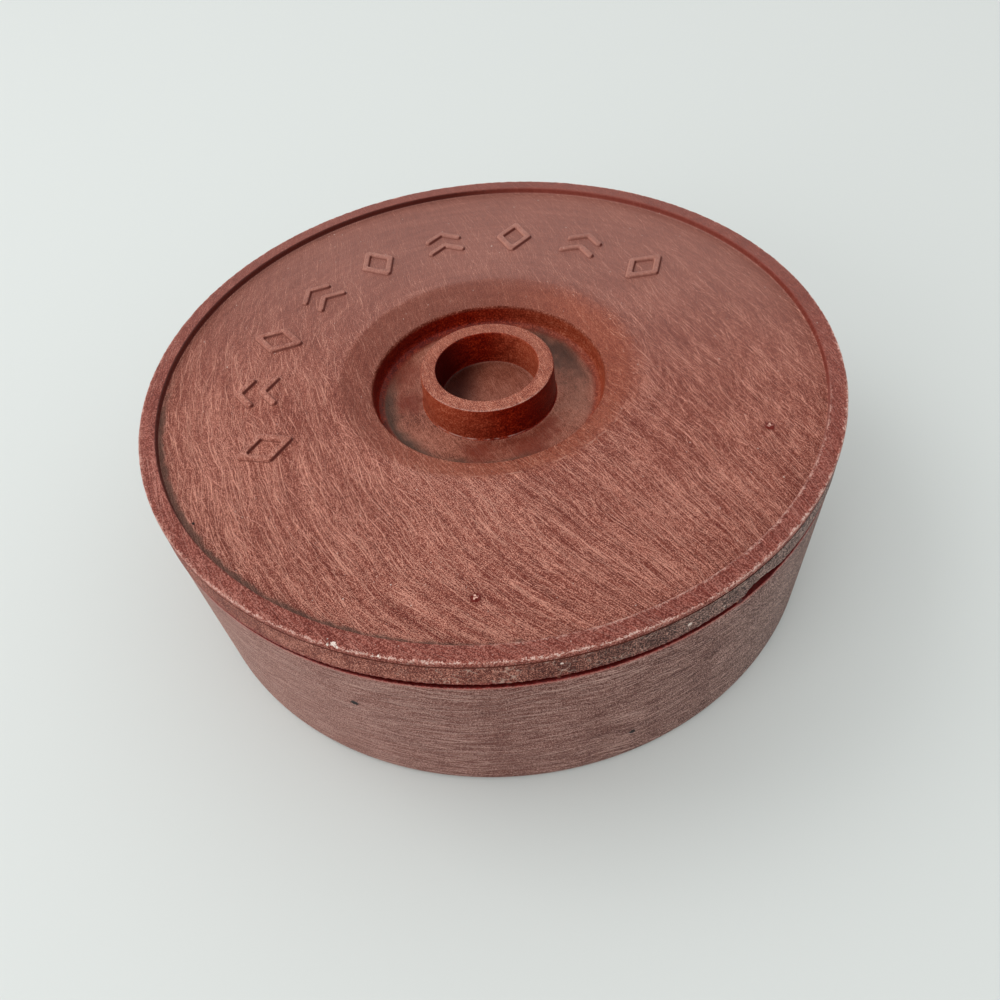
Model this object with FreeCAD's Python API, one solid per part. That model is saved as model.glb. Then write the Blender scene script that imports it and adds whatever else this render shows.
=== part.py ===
import FreeCAD, Part
import os
from math import cos, pi, radians, sin, tan

# Round tortilla warmer in fibre-filled plastic: an open base and a lid that lifts straight off.
# Millimetres. +Z is up. The origin is the middle of the flat ring that the base stands on, and
# +Y points to the middle of the arc of raised ornament on the lid.

Vector = FreeCAD.Vector
AXIS = Vector(0, 0, 1)

# ---- Overall ----
LID_DIAMETER = 216.0            # over the rim of the lid
TOTAL_HEIGHT = 69.5             # from the table to the top of the rim

# ---- Lid: panel, rim and skirt ----
PANEL_WALL = 3.2
RIM_WIDTH = 5.3
RIM_HEIGHT = 2.2                # rim above the panel
BAND_HEIGHT = 1.8               # proud band round the outside of the rim
BAND_STEP = 0.1                 # band past the outside of the skirt
GROOVE_HEIGHT = 0.8             # groove that parts the band from the skirt
GROOVE_DEPTH = 0.8
SKIRT_DEPTH = 10.2              # top of the rim to the lower edge of the skirt
SKIRT_WALL = 2.4
RIM_ROUNDING = 0.6
RIM_ROOT_ROUNDING = 0.8         # where the rim meets the panel
SKIRT_ROUNDING = 0.3

# ---- Lid: dish in the middle, with the ring that is lifted by hand ----
DISH_DIAMETER = 94.0            # outer edge of the sloping flare
RECESS_DIAMETER = 74.4          # where the flare ends and the steep wall begins
FLARE_DROP = 4.2                # panel to the lower edge of the flare
RECESS_DEPTH = 13.0             # top of the rim to the floor of the recess
RECESS_DRAFT = 1.0              # steep wall, inwards from its top to the floor
FLARE_ROUNDING = 3.0
RECESS_EDGE_ROUNDING = 1.0
RECESS_ROOT_ROUNDING = 1.8
RING_DIAMETER = 42.0            # outside of the ring, at its top
RING_WALL = 4.8                 # at its top
RING_BELOW_RIM = 1.2            # top of the ring, under the top of the rim
RING_DRAFT = 0.5                # each side, outwards from its top to the floor
RING_ROUNDING = 0.6
RING_ROOT_ROUNDING = 1.0

# ---- Lid: raised ornament, outlined diamonds and pairs of chevrons in turn along an arc ----
MOTIF_COUNT = 9
MOTIF_PITCH = 20.4              # degrees between two motifs
MOTIF_RADIUS = 72.5             # middle of a motif, from the axis
MOTIF_LENGTH = 19.0             # along the radius
MOTIF_WIDTH = 13.0              # across the radius
STROKE_WIDTH = 2.2
STROKE_HEIGHT = 0.9
STROKE_ROUNDING = 0.45
CHEVRON_RISE = 4.5              # tip of a chevron past its arms
CHEVRON_SPACING = 7.5           # between the two chevrons of a pair

# ---- Lid: two moulding pips ----
PIP_RADIUS_PLACE = 87.8         # from the axis
PIP_HALF_ANGLE = 34.7           # degrees, each side of -Y
PIP_DIAMETER = 1.9
PIP_HEIGHT = 0.5

# ---- Fit of the lid on the base ----
LID_PLAY = 0.4                  # between the skirt and the spigot, on the radius
JOINT_GAP = 1.7                 # open line between the skirt and the shoulder
SHOULDER_SET_IN = 0.2           # outside of the shoulder, inside that of the skirt

# ---- Base ----
SPIGOT_WALL = 2.3
SPIGOT_ROUNDING = 0.6
SHOULDER_ROUNDING = 0.6
OUTER_TAPER = 2.1               # outside of the wall, inwards from the shoulder to the table
INNER_TAPER = 1.2               # inside of the wall, inwards from the mouth to the floor
FLOOR_WALL = 4.0
OUTER_CORNER = 2.7
INNER_CORNER = 6.0
REST_WIDTH = 7.0                # flat ring that stands on the table
UNDERSIDE_RECESS = 0.8
UNDERSIDE_ROUNDING = 0.4

# ---- Heights and radii that follow ----
RIM_RADIUS = LID_DIAMETER / 2
RIM_INNER_RADIUS = RIM_RADIUS - RIM_WIDTH
PANEL_TOP = TOTAL_HEIGHT - RIM_HEIGHT
PANEL_UNDERSIDE = PANEL_TOP - PANEL_WALL
SKIRT_RADIUS = RIM_RADIUS - BAND_STEP
SKIRT_INNER_RADIUS = SKIRT_RADIUS - SKIRT_WALL
SKIRT_EDGE = TOTAL_HEIGHT - SKIRT_DEPTH
RECESS_FLOOR = TOTAL_HEIGHT - RECESS_DEPTH
SPIGOT_RADIUS = SKIRT_INNER_RADIUS - LID_PLAY
SHOULDER = SKIRT_EDGE - JOINT_GAP

STRAIGHT_SHARE = 0.49           # most of a side that one rounding may take


def rounded_face(corners):
    """A face in the XZ plane. Each corner is (radius, height, rounding)."""
    points = [Vector(radius, 0, height) for radius, height, _ in corners]
    ends, arcs = [], []
    for i, (_, _, rounding) in enumerate(corners):
        here = points[i]
        back = points[i - 1] - here
        ahead = points[(i + 1) % len(points)] - here
        half_turn = (pi - back.getAngle(ahead)) / 2
        most = STRAIGHT_SHARE * min(back.Length, ahead.Length)
        reach = min(rounding * tan(half_turn), most)
        back.normalize()
        ahead.normalize()
        start, end = here + back * reach, here + ahead * reach
        ends.append((start, end))
        if rounding > 0:
            inwards = back + ahead
            inwards.normalize()
            radius = reach / tan(half_turn)
            middle = here + inwards * (radius / cos(half_turn) - radius)
            arcs.append(Part.Arc(start, middle, end).toShape())
    sides = [
        Part.makeLine(ends[i - 1][1], ends[i][0])
        for i in range(len(points))
    ]
    return Part.Face(Part.Wire(Part.__sortEdges__(arcs + sides)))


def turned(corners):
    """The solid of revolution about Z of a profile of (radius, height, rounding) corners."""
    return rounded_face(corners).revolve(Vector(0, 0, 0), AXIS, 360)


def lid_body():
    """Panel, rim, band, skirt, dish and ring, without the ornament."""
    band_edge = TOTAL_HEIGHT - BAND_HEIGHT
    ring_top = TOTAL_HEIGHT - RING_BELOW_RIM
    ring_radius = RING_DIAMETER / 2
    ring_inner_radius = ring_radius - RING_WALL
    recess_radius = RECESS_DIAMETER / 2
    recess_edge = PANEL_TOP - FLARE_DROP
    dish_radius = DISH_DIAMETER / 2
    boss_radius = recess_radius + PANEL_WALL
    boss_underside = RECESS_FLOOR - PANEL_WALL
    return turned([
        (0, RECESS_FLOOR, 0),
        (ring_inner_radius - RING_DRAFT, RECESS_FLOOR, RING_ROOT_ROUNDING),
        (ring_inner_radius, ring_top, RING_ROUNDING),
        (ring_radius, ring_top, RING_ROUNDING),
        (ring_radius + RING_DRAFT, RECESS_FLOOR, RING_ROOT_ROUNDING),
        (recess_radius - RECESS_DRAFT, RECESS_FLOOR, RECESS_ROOT_ROUNDING),
        (recess_radius, recess_edge, RECESS_EDGE_ROUNDING),
        (dish_radius, PANEL_TOP, FLARE_ROUNDING),
        (RIM_INNER_RADIUS, PANEL_TOP, RIM_ROOT_ROUNDING),
        (RIM_INNER_RADIUS, TOTAL_HEIGHT, RIM_ROUNDING),
        (RIM_RADIUS, TOTAL_HEIGHT, RIM_ROUNDING),
        (RIM_RADIUS, band_edge, 0),
        (SKIRT_RADIUS - GROOVE_DEPTH, band_edge, 0),
        (SKIRT_RADIUS - GROOVE_DEPTH, band_edge - GROOVE_HEIGHT, 0),
        (SKIRT_RADIUS, band_edge - GROOVE_HEIGHT, 0),
        (SKIRT_RADIUS, SKIRT_EDGE, SKIRT_ROUNDING),
        (SKIRT_INNER_RADIUS, SKIRT_EDGE, SKIRT_ROUNDING),
        (SKIRT_INNER_RADIUS, PANEL_UNDERSIDE, SKIRT_ROUNDING),
        (dish_radius, PANEL_UNDERSIDE, FLARE_ROUNDING),
        (boss_radius, PANEL_UNDERSIDE - FLARE_DROP, RECESS_EDGE_ROUNDING),
        (boss_radius - RECESS_DRAFT, boss_underside, RECESS_ROOT_ROUNDING),
        (0, boss_underside, 0),
    ])


def on_panel(solid, radius, angle):
    """Turns a solid made about the origin, with +Y outwards, to its place on the panel."""
    placed = solid.copy()
    placed.translate(Vector(0, radius, PANEL_TOP))
    placed.rotate(Vector(0, 0, 0), AXIS, angle)
    return placed


def raised(outline, openings=()):
    """A raised shape with a rounded top, rooted halfway down the panel's wall."""
    root = Vector(0, 0, -PANEL_WALL / 2)
    rise = AXIS * (PANEL_WALL / 2 + STROKE_HEIGHT)
    loops = [
        Part.makePolygon([Vector(x, y, 0) + root for x, y in loop + loop[:1]])
        for loop in (outline, *openings)
    ]
    solid = Part.Face(loops[0]).extrude(rise)
    for loop in loops[1:]:
        solid = solid.cut(Part.Face(loop).extrude(rise))
    top_edges = [
        edge for edge in solid.Edges
        if all(vertex.Z > STROKE_HEIGHT / 2 for vertex in edge.Vertexes)
    ]
    rounding = min(STROKE_ROUNDING, STROKE_HEIGHT / 2, STROKE_WIDTH / 4)
    return solid.makeFillet(rounding, top_edges)


def diamond_loop(length, width):
    return [(0, length / 2), (-width / 2, 0), (0, -length / 2), (width / 2, 0)]


def diamond():
    """The outline of a diamond, as a list of its one solid."""
    slant = Vector(MOTIF_LENGTH, MOTIF_WIDTH, 0).Length
    inset = 2 * STROKE_WIDTH * slant / (MOTIF_LENGTH * MOTIF_WIDTH)
    inner = diamond_loop(MOTIF_LENGTH * (1 - inset), MOTIF_WIDTH * (1 - inset))
    return [raised(diamond_loop(MOTIF_LENGTH, MOTIF_WIDTH), [inner])]


def chevrons():
    """Two chevrons that point outwards, one behind the other."""
    half = MOTIF_WIDTH / 2
    depth = STROKE_WIDTH * Vector(half, CHEVRON_RISE, 0).Length / half
    lowest = -(CHEVRON_SPACING + CHEVRON_RISE + depth) / 2
    pair = []
    for foot in (lowest, lowest + CHEVRON_SPACING):
        pair.append(raised([
            (-half, foot),
            (0, foot + CHEVRON_RISE),
            (half, foot),
            (half, foot + depth),
            (0, foot + CHEVRON_RISE + depth),
            (-half, foot + depth),
        ]))
    return pair


def ornament():
    """The motifs in their places, diamonds at both ends of the arc."""
    kinds = (diamond(), chevrons())
    placed = []
    for i in range(MOTIF_COUNT):
        angle = MOTIF_PITCH * (i - (MOTIF_COUNT - 1) / 2)
        placed += [on_panel(solid, MOTIF_RADIUS, angle) for solid in kinds[i % len(kinds)]]
    return placed


def pips():
    """Two small nubs that the mould leaves on the panel, opposite the ornament."""
    root = PANEL_WALL / 2
    nub = Part.makeCylinder(PIP_DIAMETER / 2, root + PIP_HEIGHT, Vector(0, 0, -root))
    return [
        on_panel(nub, PIP_RADIUS_PLACE, 180 + side * PIP_HALF_ANGLE)
        for side in (-1, 1)
    ]


def make_lid():
    return lid_body().multiFuse(ornament() + pips()).removeSplitter()


def make_base():
    """Open bowl with a straight wall, a shoulder under the skirt and a spigot inside it."""
    mouth_radius = SPIGOT_RADIUS - SPIGOT_WALL
    floor = UNDERSIDE_RECESS + FLOOR_WALL
    shoulder_radius = SKIRT_RADIUS - SHOULDER_SET_IN
    foot_radius = shoulder_radius - OUTER_TAPER
    rest_inner_radius = foot_radius - OUTER_CORNER - REST_WIDTH
    return turned([
        (0, floor, 0),
        (mouth_radius - INNER_TAPER, floor, INNER_CORNER),
        (mouth_radius, PANEL_UNDERSIDE, SPIGOT_ROUNDING),
        (SPIGOT_RADIUS, PANEL_UNDERSIDE, SPIGOT_ROUNDING),
        (SPIGOT_RADIUS, SHOULDER, SKIRT_ROUNDING),
        (shoulder_radius, SHOULDER, SHOULDER_ROUNDING),
        (foot_radius, 0, OUTER_CORNER),
        (rest_inner_radius, 0, UNDERSIDE_ROUNDING),
        (rest_inner_radius, UNDERSIDE_RECESS, UNDERSIDE_ROUNDING),
        (0, UNDERSIDE_RECESS, 0),
    ])


os.makedirs("parts", exist_ok=True)
make_base().exportStep("parts/base.step")
make_lid().exportStep("parts/lid.step")
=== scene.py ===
from functools import partial, reduce
from math import atan2, ceil, cos, hypot, pi, radians, sin, tan

import bpy
import numpy as np
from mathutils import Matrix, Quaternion, Vector, noise


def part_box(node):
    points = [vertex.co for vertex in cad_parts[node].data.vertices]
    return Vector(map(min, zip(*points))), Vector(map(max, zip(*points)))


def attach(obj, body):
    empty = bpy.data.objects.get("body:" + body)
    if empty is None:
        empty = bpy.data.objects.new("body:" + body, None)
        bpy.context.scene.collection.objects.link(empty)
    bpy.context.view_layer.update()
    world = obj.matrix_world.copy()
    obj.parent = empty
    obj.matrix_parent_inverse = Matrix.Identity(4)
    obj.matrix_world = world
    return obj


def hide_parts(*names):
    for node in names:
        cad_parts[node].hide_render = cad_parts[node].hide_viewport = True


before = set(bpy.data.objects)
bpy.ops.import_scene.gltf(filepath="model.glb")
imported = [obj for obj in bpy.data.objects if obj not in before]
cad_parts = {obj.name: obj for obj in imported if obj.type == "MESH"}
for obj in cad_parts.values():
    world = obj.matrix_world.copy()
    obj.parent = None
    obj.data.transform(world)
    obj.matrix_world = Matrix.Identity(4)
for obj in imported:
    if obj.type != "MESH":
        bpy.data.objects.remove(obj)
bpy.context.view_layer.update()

# The looks of a round tortilla warmer in fibre-filled plastic: a base and a lid, both turned shapes
# with worn edges, and the lid's raised ornament. Lengths are millimetres, and MM makes them metres.
MM = 0.001

# ---- Sizes from the frame ----
RIM_RADIUS = round(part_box("lid")[1].x / MM, 2)
TOP = round(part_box("lid")[1].z / MM, 2)
SPIGOT_TOP = round(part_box("base")[1].z / MM, 2)
BOSS_UNDERSIDE = round(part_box("lid")[0].z / MM, 2)

# ---- Lid ----
RIM_WIDTH = 5.3
RIM_HEIGHT = 2.2
BAND_HEIGHT = 1.8
BAND_STEP = 0.1
GROOVE_HEIGHT = 0.8
GROOVE_DEPTH = 0.8
SKIRT_DEPTH = 10.2
SKIRT_WALL = 2.4
RIM_ROUNDING = 0.6
RIM_ROOT_ROUNDING = 0.8
SKIRT_ROUNDING = 0.3
DISH_RADIUS = 47.0
RECESS_RADIUS = 37.2
FLARE_DROP = 4.2
RECESS_DEPTH = 13.0
RECESS_DRAFT = 1.0
FLARE_ROUNDING = 3.0
RECESS_EDGE_ROUNDING = 1.0
RECESS_ROOT_ROUNDING = 3.2
BOSS_ROUNDING = 1.8
RING_RADIUS = 21.0
RING_WALL = 4.8
RING_BELOW_RIM = 1.2
RING_DRAFT = 0.5
RING_ROUNDING = 0.6
RING_ROOT_ROUNDING = 1.0

PANEL_TOP = TOP - RIM_HEIGHT
PANEL_WALL = PANEL_TOP - SPIGOT_TOP
RIM_INNER_RADIUS = RIM_RADIUS - RIM_WIDTH
SKIRT_RADIUS = RIM_RADIUS - BAND_STEP
SKIRT_EDGE = TOP - SKIRT_DEPTH
RECESS_FLOOR = TOP - RECESS_DEPTH
RING_TOP = TOP - RING_BELOW_RIM

# ---- Base ----
LID_PLAY = 0.4
JOINT_GAP = 1.7
SHOULDER_SET_IN = 0.2
SHOULDER_ROUNDING = 0.6
SPIGOT_WALL = 2.3
SPIGOT_ROUNDING = 0.6
OUTER_TAPER = 2.1
INNER_TAPER = 1.2
FLOOR_WALL = 4.0
OUTER_CORNER = 2.7
INNER_CORNER = 6.0
REST_WIDTH = 7.0
UNDERSIDE_RECESS = 0.8
UNDERSIDE_ROUNDING = 0.4

SHOULDER = SKIRT_EDGE - JOINT_GAP
SHOULDER_RADIUS = SKIRT_RADIUS - SHOULDER_SET_IN
SPIGOT_RADIUS = SKIRT_RADIUS - SKIRT_WALL - LID_PLAY

# ---- How finely the turned shapes are cut ----
COARSE, FINE = 360, 1440  # points round a ring: plain stretches, and edges that show wear
ARC_STEPS = 5
LONGEST_RUN = 4.0
SUPPORT = 0.3  # extra ring this far from each arc, so that flats stay flat
STRAIGHT_SHARE = 0.49  # most of a side that one rounding may take


# ---- Turned shapes ----

def arc_ends(spots, i, rounding):
    """Where the rounding of corner i starts and ends."""
    if i in (0, len(spots) - 1):
        return spots[i], spots[i]
    back, ahead = spots[i - 1] - spots[i], spots[i + 1] - spots[i]
    half_turn = (pi - back.angle(ahead)) / 2
    reach = min(rounding * tan(half_turn), STRAIGHT_SHARE * min(back.length, ahead.length))
    return spots[i] + back.normalized() * reach, spots[i] + ahead.normalized() * reach


def half_section(corners):
    """Rings (place, points round it, surface that starts there) of a rounded half section.

    A corner is (radius, height, rounding, surface of the run that starts there). It ends with the
    number of points round it, where that isn't COARSE."""
    spots = [Vector(corner[:2]) for corner in corners]
    ends = [arc_ends(spots, i, corner[2]) for i, corner in enumerate(corners)]
    counts = [corner[4] if len(corner) > 4 else COARSE for corner in corners]
    rings = []
    for i, (_, _, rounding, surface, *_) in enumerate(corners):
        start, end = ends[i]
        steps = ARC_STEPS if rounding > 0 else 0
        for k in range(steps + 1):
            share = k / max(steps, 1)
            place = start.lerp(spots[i], share).lerp(spots[i].lerp(end, share), share)
            rings.append((place, counts[i], surface if 2 * k >= steps else corners[i - 1][3]))
        if i + 1 < len(corners):
            rings += straight_run(end, ends[i + 1][0], min(counts[i:i + 2]), surface)
    return rings


def straight_run(start, end, count, surface):
    """Rings between two roundings."""
    length = (end - start).length
    if length < 3 * SUPPORT:
        return []
    inner = length - 2 * SUPPORT
    steps = ceil(inner / LONGEST_RUN)
    return [
        (start.lerp(end, (SUPPORT + inner * k / steps) / length), count, surface)
        for k in range(steps + 1)
    ]


def eased_counts(counts):
    """Points round each ring, such that neighbours differ by a factor of two at most."""
    counts = [1] + counts[1:-1] + [1]
    for order in (range(1, len(counts) - 1), range(len(counts) - 2, 0, -1)):
        for i in order:
            for j in (i - 1, i + 1):
                if counts[j] > 1:
                    counts[i] = max(counts[i], counts[j] // 2)
    return counts


def turned(corners):
    """Radii, heights and angles of the vertices, the faces, and the faces' surfaces."""
    rings = half_section(corners)
    counts = eased_counts([count for _, count, _ in rings])
    firsts = np.concatenate([[0], np.cumsum(counts)])
    angles = np.concatenate([np.arange(n) * (2 * pi / n) for n in counts])
    radii = np.repeat([place.x for place, _, _ in rings], counts)
    heights = np.repeat([place.y for place, _, _ in rings], counts)
    faces, surfaces = [], []
    for i in range(len(rings) - 1):
        made = ring_faces(firsts[i], counts[i], firsts[i + 1], counts[i + 1])
        faces += made
        surfaces += [rings[i][2]] * len(made)
    return radii, heights, angles, faces, surfaces


def ring_faces(a, n, b, m):
    """Faces between a ring of n vertices from a on and the next one, of m vertices from b on."""
    if n == 1:
        return [(a, b + k, b + (k + 1) % m) for k in range(m)]
    if m == 1:
        return [(a + k, b, a + (k + 1) % n) for k in range(n)]
    if n == m:
        return [(a + k, b + k, b + (k + 1) % n, a + (k + 1) % n) for k in range(n)]
    faces = []
    for k in range(min(n, m)):
        ahead = (k + 1) % min(n, m)
        if n < m:
            near, middle, far = b + 2 * k, b + 2 * k + 1, b + (2 * k + 2) % m
            faces += [(a + k, near, middle), (a + k, middle, a + ahead), (a + ahead, middle, far)]
        else:
            near, middle, far = a + 2 * k, a + 2 * k + 1, a + (2 * k + 2) % n
            faces += [(near, b + k, middle), (middle, b + k, b + ahead), (middle, b + ahead, far)]
    return faces


def add(name, data):
    """A new object in the scene."""
    made = bpy.data.objects.new(name, data)
    bpy.context.scene.collection.objects.link(made)
    return made


def as_object(name, places, faces, surfaces, materials):
    """A smooth object from places in millimetres, with a material for each face's surface."""
    mesh = bpy.data.meshes.new(name)
    mesh.from_pydata([(x * MM, y * MM, z * MM) for x, y, z in places], [], faces)
    names = list(materials)
    for surface in names:
        mesh.materials.append(materials[surface])
    mesh.polygons.foreach_set("material_index", [names.index(surface) for surface in surfaces])
    mesh.polygons.foreach_set("use_smooth", [True] * len(faces))
    return add(name, mesh)


def turned_object(name, corners, wear, materials):
    """An object of a turned and worn shape."""
    radii, heights, angles, faces, surfaces = turned(corners)
    radii, heights = wear(radii, heights, angles)
    places = zip(radii * np.cos(angles), radii * np.sin(angles), heights)
    return as_object(name, places, faces, surfaces, materials)


# ---- Wear and unevenness ----

RIM_WEAR = 0.13  # most that the rim's outer edge is worn away
INNER_EDGE_WEAR = 0.10
EDGE_REACH, EDGE_FULL = 1.4, 0.2  # how far from an edge its wear reaches, and is full
SKIRT_RAGGED = 0.11
SKIRT_RAGGED_MOST = 0.3
SKIRT_REACH, SKIRT_FULL = 2.6, 0.4
SAG = 0.85  # how much lower the skirt hangs at the back, past these angles
SAG_ANGLES = (-133, -159)
SAG_BACK_ANGLES = (60, 150)
CHIP_ANGLE = -143.1  # pale chip in the rim's outer edge
CHIP_LENGTH = 2.2
CHIP_DEPTH = 0.5
NUB_ANGLE = -86.35  # small nub of flash that all but bridges the joint
NUB_WIDTH = 1.3
NUB_FOOT, NUB_EDGE = 0.35, 0.25  # its slope reaches this far out and in from its side
NUB_CLEARANCE = 0.2
NUB_RADII = (105.9, 106.6)
SHOULDER_RAGGED = 0.13
SHOULDER_REACH, SHOULDER_FULL = 1.9, 0.5
GAPE_ANGLE = -82.7  # where the joint gapes, just past the nub
GAPE_HALF_ANGLE = 6.0
GAPE_START = (0.5, 1.6)  # degrees past the nub's middle
DIP_DEPTH = 0.7  # in the shoulder
BITE_DEPTH = 2.5  # in the skirt's lower edge
BITE_REACH = 6.5


def smooth(low, high, values):
    """0 at low, 1 at high and past it, and a soft rise between them."""
    share = np.clip((values - low) / (high - low), 0, 1)
    return share * share * (3 - 2 * share)


def ring_waves(angles, lowest, highest, seed):
    """Uneven waves round the axis, lowest to highest of them a turn, of about unit height."""
    draw = np.random.default_rng(seed)
    terms = 24
    waves = draw.integers(lowest, highest + 1, terms)
    phases = draw.uniform(0, 2 * pi, terms)
    return np.cos(np.outer(angles, waves) + phases).sum(1) / np.sqrt(terms / 2)


def grit(radii, heights, angles, size, seed):
    """Noise in space at the vertices, from about -1 to 1."""
    return np.array([
        noise.noise(Vector((r * cos(a) / size, r * sin(a) / size, z / size + seed)))
        for r, z, a in zip(radii, heights, angles)
    ])


def away(angles, degrees):
    """Degrees from a place round the axis, signed."""
    return (np.degrees(angles) - degrees + 180) % 360 - 180


def past_nub(angles):
    """1 where the joint gapes, just past the nub, and 0 away from there."""
    reach = smooth(GAPE_HALF_ANGLE, 0, np.abs(away(angles, GAPE_ANGLE)))
    return reach * smooth(*GAPE_START, away(angles, 0) - NUB_ANGLE)


def wear_lid(radii, heights, angles):
    """The lid's radii and heights, with worn rim edges and an uneven lower edge of the skirt."""
    outer = smooth(EDGE_REACH, EDGE_FULL, np.hypot(radii - RIM_RADIUS, heights - TOP))
    inner = smooth(EDGE_REACH, EDGE_FULL, np.hypot(radii - RIM_INNER_RADIUS, heights - TOP))
    worn = 0.4 + 0.9 * grit(radii, heights, angles, 1.3, 3) + 0.5 * grit(radii, heights, angles, 7, 7)
    worn = np.clip(worn, 0, 1.2)
    chip = smooth(CHIP_LENGTH, EDGE_FULL, np.abs(radians(1) * RIM_RADIUS * away(angles, CHIP_ANGLE)))
    off = outer * (worn * RIM_WEAR + chip * CHIP_DEPTH)
    eased = inner * worn * INNER_EDGE_WEAR
    in_skirt = radii > SPIGOT_RADIUS
    edge = smooth(SKIRT_REACH, SKIRT_FULL, heights - SKIRT_EDGE) * in_skirt
    round_axis = away(angles, 0)
    sag = np.where(
        round_axis < 0, smooth(*SAG_ANGLES, round_axis), smooth(*SAG_BACK_ANGLES, round_axis))
    ragged = ring_waves(angles, 60, 420, 11) + 0.6 * ring_waves(angles, 9, 40, 12)
    drop = sag * SAG - np.clip(ragged * SKIRT_RAGGED, -SKIRT_RAGGED_MOST, SKIRT_RAGGED_MOST)
    low = smooth(BITE_REACH, SKIRT_FULL, heights - SKIRT_EDGE) * in_skirt
    bite = low * BITE_DEPTH * past_nub(angles)
    return radii - 0.7 * off + 0.5 * eased, heights - 0.7 * off - 0.6 * eased - edge * drop + bite


def wear_base(radii, heights, angles):
    """The base's radii and heights, with a ragged shoulder that has a worn dip and a nub."""
    beside = np.hypot(radii - SHOULDER_RADIUS, heights - SHOULDER)
    edge = smooth(SHOULDER_REACH, SHOULDER_FULL, beside)
    ragged = ring_waves(angles, 50, 400, 21) + 0.7 * ring_waves(angles, 8, 40, 22)
    dip = DIP_DEPTH * past_nub(angles)
    across = np.abs(radians(1) * SHOULDER_RADIUS * away(angles, NUB_ANGLE))
    nub = smooth(NUB_WIDTH / 2 + NUB_FOOT, NUB_WIDTH / 2 - NUB_EDGE, across)
    ledge = (np.abs(heights - SHOULDER) < 0.5) * smooth(*NUB_RADII, radii)
    raised_by = ledge * nub * (JOINT_GAP - NUB_CLEARANCE)
    heights = heights + edge * (ragged * SHOULDER_RAGGED * (1 - nub) - dip) + raised_by
    return radii - edge * 0.3 * dip, heights


# ---- The raised ornament and the pips ----

MOTIF_COUNT = 9
MOTIF_PITCH = 20.4  # degrees
MOTIF_RADIUS = 72.5
MOTIF_LENGTH = 19.0
MOTIF_WIDTH = 13.0
STROKE_WIDTH = 2.2
STROKE_HEIGHT = 0.9
CHEVRON_RISE = 4.5
CHEVRON_SPACING = 7.5
ROOT_DEPTH = 0.8  # how far a raised shape goes into the panel
SIDE_STEPS = 4
OUTER_BEND = 1.3  # roundings of a stroke's outline
INNER_BEND = 0.5
STROKE_END = 0.9
STROKE_SIDE = [  # (inset from the stroke's outline, height), from the root up
    (-0.35, -ROOT_DEPTH), (-0.35, -0.02), (-0.14, 0.05), (0.0, 0.22), (0.08, 0.5),
    (0.2, 0.7), (0.42, 0.84), (0.72, STROKE_HEIGHT),
]


def inset_loop(corners, inset):
    """A polygon's outline moved inwards by inset. Each corner is (x, y, rounding)."""
    spots = [Vector(corner[:2]) for corner in corners]
    loop = []
    for i, (_, _, rounding) in enumerate(corners):
        back = (spots[i - 1] - spots[i]).normalized()
        ahead = (spots[(i + 1) % len(spots)] - spots[i]).normalized()
        turn = (atan2(ahead.y, ahead.x) - atan2(-back.y, -back.x) + pi) % (2 * pi) - pi
        inwards = Vector((back.y, -back.x)) + Vector((-ahead.y, ahead.x))
        inwards = inwards / inwards.length_squared * 2
        side = 1 if turn > 0 else -1
        radius = max(rounding - side * inset, 0.02)
        middle = spots[i] + inwards * (side * radius + inset)
        start = atan2(back.x * side, -back.y * side)
        for k in range(ARC_STEPS + 1):
            angle = start + turn * k / ARC_STEPS
            loop.append(middle + Vector((cos(angle), sin(angle))) * radius)
    return with_side_points(loop)


def with_side_points(loop):
    """The loop with points along the straight sides between its arcs."""
    filled = []
    for i, point in enumerate(loop):
        filled.append(point)
        if i % (ARC_STEPS + 1) == ARC_STEPS:
            ahead = loop[(i + 1) % len(loop)]
            filled += [point.lerp(ahead, k / SIDE_STEPS) for k in range(1, SIDE_STEPS)]
    return filled


def stroke_wall(places, outline, sense):
    """Adds the side of a raised shape to places, and gives its loops, from the root up."""
    stack = []
    for inset, height in STROKE_SIDE:
        loop = inset_loop(outline, inset * sense)
        stack.append(range(len(places), len(places) + len(loop)))
        places += [(point.x, point.y, height) for point in loop]
    return stack


def strip(low, high):
    """Faces between two loops of as many vertices."""
    count = len(low)
    return [(low[k], low[(k + 1) % count], high[(k + 1) % count], high[k]) for k in range(count)]


def raised(outline, hole=None):
    """Vertices and faces of a raised shape about the origin, closed at its root."""
    places = []
    stack = stroke_wall(places, outline, 1)
    faces = [face for low, high in zip(stack, stack[1:]) for face in strip(low, high)]
    if hole:
        inner = stroke_wall(places, hole, -1)
        faces += [face for low, high in zip(inner, inner[1:]) for face in strip(high, low)]
        faces += strip(stack[-1], inner[-1])
        faces += strip(inner[0], stack[0])
    else:
        faces += [tuple(stack[-1]), tuple(reversed(stack[0]))]
    return places, faces


def diamond_corners(share, rounding):
    """Corners, about the origin, of a diamond with this share of the motif's size."""
    x, y = MOTIF_WIDTH * share / 2, MOTIF_LENGTH * share / 2
    return [(0, -y, rounding), (x, 0, rounding), (0, y, rounding), (-x, 0, rounding)]


def diamond():
    """The outline of a diamond, as a list of its one shape."""
    inset = 2 * STROKE_WIDTH * hypot(MOTIF_LENGTH, MOTIF_WIDTH) / (MOTIF_LENGTH * MOTIF_WIDTH)
    return [raised(diamond_corners(1, OUTER_BEND), diamond_corners(1 - inset, INNER_BEND))]


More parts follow.
